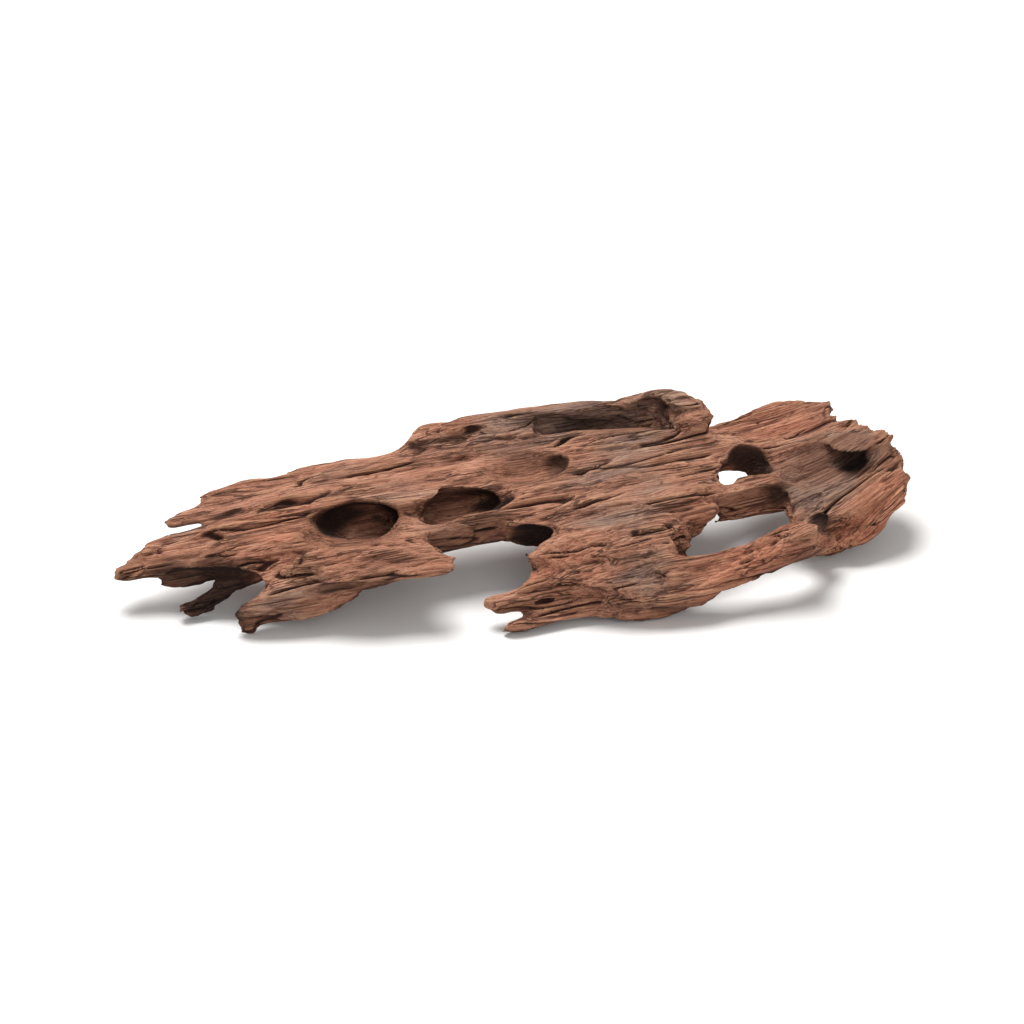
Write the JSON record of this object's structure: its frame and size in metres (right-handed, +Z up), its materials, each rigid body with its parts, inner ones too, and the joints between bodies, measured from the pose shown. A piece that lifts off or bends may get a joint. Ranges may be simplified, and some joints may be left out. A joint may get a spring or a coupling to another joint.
{
  "type": "dragon wood branch",
  "caption": "Long weathered slab of red-brown root wood with rot hollows, an open loop at one end, splintered prongs at the other, and short legs that it stands on.",
  "frame": {"origin": "on the surface it stands on, under the middle of its bounding box", "axes": "+X along the wood towards the spoon-shaped end, +Y towards the log along its far edge, +Z up"},
  "size_m": [0.3468, 0.1362, 0.0651],
  "materials": {
    "weathered_wood": "matt, weathered"
  },
  "bodies": {
    "root": {"branch": "weathered_wood"}
  },
  "joints": []
}
